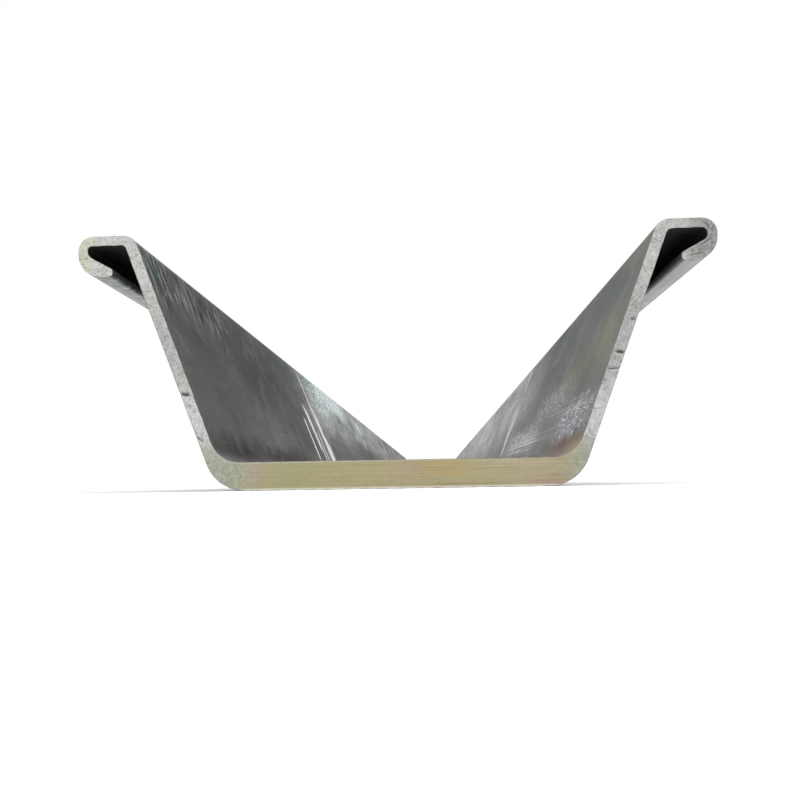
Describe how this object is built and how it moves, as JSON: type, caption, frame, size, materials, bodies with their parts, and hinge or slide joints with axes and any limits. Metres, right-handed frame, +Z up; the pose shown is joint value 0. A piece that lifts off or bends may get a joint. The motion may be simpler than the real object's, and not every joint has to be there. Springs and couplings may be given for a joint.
{
  "type": "steel sheet pile",
  "caption": "Hot-rolled U-section steel sheet pile with a thick flat pan, sloping webs and a hook interlock along each edge, for retaining walls and cofferdams.",
  "frame": {"origin": "middle of the length, on the underside of the pan, centred between the interlocks", "axes": "+X across the section, +Y along the pile, +Z up out of the open trough; the pile lies on its pan"},
  "size_m": [0.546, 6, 0.223],
  "materials": {
    "steel": "dark hot-rolled mill scale with pale square-cut ends"
  },
  "bodies": {
    "root": {"sheet_pile": "steel"}
  },
  "joints": []
}
